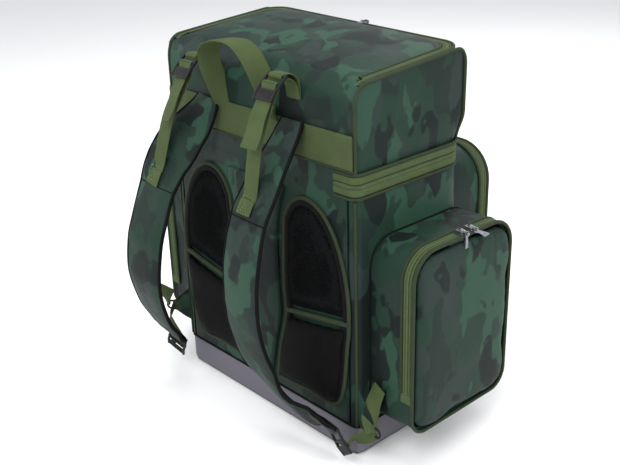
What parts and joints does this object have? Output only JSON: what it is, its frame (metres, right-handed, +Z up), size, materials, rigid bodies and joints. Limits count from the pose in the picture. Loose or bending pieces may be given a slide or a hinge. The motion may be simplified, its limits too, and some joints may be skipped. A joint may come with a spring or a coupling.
{
  "type": "tackle backpack",
  "caption": "Box-shaped fishing tackle backpack with moulded base, tilting top compartment, zipped side and front pockets, padded mesh harness and grab handle",
  "frame": {"origin": "Centre of the underside of the moulded base, on the ground plane.", "axes": "+Z up; -Y is the harness side that lies on the wearer's back; +X is to the right when looking at the harness side."},
  "size_m": [0.573, 0.4459, 0.5831],
  "materials": {
    "camo_fabric": "coated woven polyester in a dark green blotched camouflage print",
    "webbing": "olive woven polypropylene webbing",
    "piping": "olive fabric piping over a cord",
    "zip_tape": "olive nylon coil zip on woven tape",
    "mesh": "black three-dimensional spacer mesh",
    "lumbar": "smooth black padded fabric",
    "black_binding": "black binding tape",
    "base_moulding": "grained grey waterproof moulding",
    "board": "black stiffening sheet inside the fabric",
    "buckle_plastic": "dark grey acetal",
    "zip_metal": "gunmetal plated zip sliders and pulls"
  },
  "bodies": {
    "pack": {"base_tub": "base_moulding", "base_piping": "black_binding", "base_board": "board", "main_wrap": "camo_fabric", "back_panel": "camo_fabric", "back_stiffener": "board", "spine_pad": "camo_fabric", "mesh_pads": "mesh", "lumbar_pads": "lumbar", "pad_bindings": "piping", "back_piping": "piping", "main_zip_lower": "zip_tape", "corner_tabs": "camo_fabric", "tab_rings": "buckle_plastic", "lower_webs": "webbing", "pocket_wall_left": "camo_fabric", "pocket_wall_right": "camo_fabric", "pocket_zips": "zip_tape", "front_pocket_wall": "camo_fabric", "front_pocket_zip": "zip_tape"},
    "top_compartment": {"top_box_shell": "camo_fabric", "top_box_floor": "camo_fabric", "main_zip_upper": "zip_tape", "webbing_band": "webbing", "box_piping": "piping", "flap_zip_lower": "zip_tape", "strap_seam_tabs": "camo_fabric", "strap_tops": "camo_fabric", "lifter_anchors": "webbing"},
    "flap": {"top_flap": "camo_fabric", "flap_zip_upper": "zip_tape"},
    "handle": {"grab_handle": "webbing"},
    "upper_buckle_left": {"lifter_buckle_left": "buckle_plastic", "lifter_tail_left": "webbing"},
    "upper_buckle_right": {"lifter_buckle_right": "buckle_plastic", "lifter_tail_right": "webbing"},
    "strap_left": {"strap_left": "camo_fabric", "lifter_web_left": "webbing"},
    "strap_right": {"strap_right": "camo_fabric", "lifter_web_right": "webbing"},
    "lower_buckle_left": {"strap_buckle_left": "buckle_plastic"},
    "lower_buckle_right": {"strap_buckle_right": "buckle_plastic"},
    "side_panel_left": {"pocket_panel_left": "camo_fabric", "pocket_trim_left": "piping"},
    "side_panel_right": {"pocket_panel_right": "camo_fabric", "pocket_trim_right": "piping"},
    "front_panel": {"front_pocket_panel": "camo_fabric", "front_pocket_trim": "piping"},
    "front_slider": {"front_pocket_slider": "zip_metal"},
    "main_slider": {"main_zip_slider": "zip_metal"},
    "flap_zip_slider": {"flap_slider": "zip_metal"},
    "slider_left_rear": {"slider_left_rear": "zip_metal"},
    "pull_left_rear": {"pull_left_rear": "zip_metal"},
    "slider_left_front": {"slider_left_front": "zip_metal"},
    "pull_left_front": {"pull_left_front": "zip_metal"},
    "slider_right_rear": {"slider_right_rear": "zip_metal"},
    "pull_right_rear": {"pull_right_rear": "zip_metal"},
    "slider_right_front": {"slider_right_front": "zip_metal"},
    "pull_right_front": {"pull_right_front": "zip_metal"}
  },
  "joints": [
    {"name": "top_compartment_tilt", "type": "hinge", "parent": "pack", "child": "top_compartment", "pos_m": [0, -0.1112, 0.413], "axis": [1, 0, 0], "range_deg": [0, 45]},
    {"name": "flap_opening", "type": "hinge", "parent": "top_compartment", "child": "flap", "pos_m": [0, -0.0933, 0.5481], "axis": [1, 0, 0], "range_deg": [0, 100]},
    {"name": "handle_swing", "type": "hinge", "parent": "top_compartment", "child": "handle", "pos_m": [0, -0.115, 0.485], "axis": [1, 0, 0], "range_deg": [0, 55], "stiffness_Nm_per_rad": 0.15},
    {"name": "upper_buckle_left_swing", "type": "hinge", "parent": "top_compartment", "child": "upper_buckle_left", "pos_m": [-0.091, -0.14, 0.547], "axis": [1, 0, 0], "range_deg": [-40, 0]},
    {"name": "upper_buckle_right_swing", "type": "hinge", "parent": "top_compartment", "child": "upper_buckle_right", "pos_m": [0.091, -0.14, 0.547], "axis": [1, 0, 0], "range_deg": [-40, 0]},
    {"name": "strap_left_swing", "type": "hinge", "parent": "pack", "child": "strap_left", "pos_m": [-0.091, -0.1195, 0.477], "axis": [0.2401, 0.0764, 0.9677], "range_deg": [-20, 12], "stiffness_Nm_per_rad": 0.5},
    {"name": "strap_right_swing", "type": "hinge", "parent": "pack", "child": "strap_right", "pos_m": [0.091, -0.1195, 0.477], "axis": [-0.2499, 0.01, 0.9682], "range_deg": [-12, 12], "stiffness_Nm_per_rad": 0.5},
    {"name": "lower_buckle_left_swing", "type": "hinge", "parent": "strap_left", "child": "lower_buckle_left", "pos_m": [-0.16465, -0.16005, 0.0748], "axis": [0.8533, 0.2574, -0.4535], "range_deg": [-15, 15]},
    {"name": "lower_buckle_right_swing", "type": "hinge", "parent": "strap_right", "child": "lower_buckle_right", "pos_m": [0.17984, -0.1348, 0.04745], "axis": [0.722, -0.3013, 0.6228], "range_deg": [-15, 9]},
    {"name": "side_pocket_left_opening", "type": "hinge", "parent": "pack", "child": "side_panel_left", "pos_m": [-0.2783, 0, 0.111], "axis": [0, -1, 0], "range_deg": [0, 90]},
    {"name": "side_pocket_right_opening", "type": "hinge", "parent": "pack", "child": "side_panel_right", "pos_m": [0.2783, 0, 0.111], "axis": [0, 1, 0], "range_deg": [0, 90]},
    {"name": "front_pocket_opening", "type": "hinge", "parent": "pack", "child": "front_panel", "pos_m": [0, 0.1983, 0.111], "axis": [-1, 0, 0], "range_deg": [0, 90]},
    {"name": "slider_left_rear_travel", "type": "slide", "parent": "side_panel_left", "child": "slider_left_rear", "axis": [0, 1, 0], "range_m": [-0.06, 0]},
    {"name": "pull_left_rear_swing", "type": "hinge", "parent": "slider_left_rear", "child": "pull_left_rear", "pos_m": [-0.2829, 0.015, 0.3373], "axis": [1, 0, 0], "range_deg": [-60, 8]},
    {"name": "slider_left_front_travel", "type": "slide", "parent": "side_panel_left", "child": "slider_left_front", "axis": [0, 1, 0], "range_m": [0, 0.045]},
    {"name": "pull_left_front_swing", "type": "hinge", "parent": "slider_left_front", "child": "pull_left_front", "pos_m": [-0.2829, 0.034, 0.3373], "axis": [1, 0, 0], "range_deg": [-50, 30]},
    {"name": "slider_right_rear_travel", "type": "slide", "parent": "side_panel_right", "child": "slider_right_rear", "axis": [0, 1, 0], "range_m": [-0.06, 0]},
    {"name": "pull_right_rear_swing", "type": "hinge", "parent": "slider_right_rear", "child": "pull_right_rear", "pos_m": [0.2829, 0.015, 0.3373], "axis": [1, 0, 0], "range_deg": [-60, 8]},
    {"name": "slider_right_front_travel", "type": "slide", "parent": "side_panel_right", "child": "slider_right_front", "axis": [0, 1, 0], "range_m": [0, 0.045]},
    {"name": "pull_right_front_swing", "type": "hinge", "parent": "slider_right_front", "child": "pull_right_front", "pos_m": [0.2829, 0.034, 0.3373], "axis": [1, 0, 0], "range_deg": [-50, 30]},
    {"name": "front_slider_travel", "type": "slide", "parent": "front_panel", "child": "front_slider", "axis": [1, 0, 0], "range_m": [-0.11, 0.11]},
    {"name": "main_slider_travel", "type": "slide", "parent": "pack", "child": "main_slider", "axis": [0, 1, 0], "range_m": [-0.08, 0.04]},
    {"name": "flap_slider_travel", "type": "slide", "parent": "flap", "child": "flap_zip_slider", "axis": [1, 0, 0], "range_m": [-0.14, 0.14]}
  ]
}
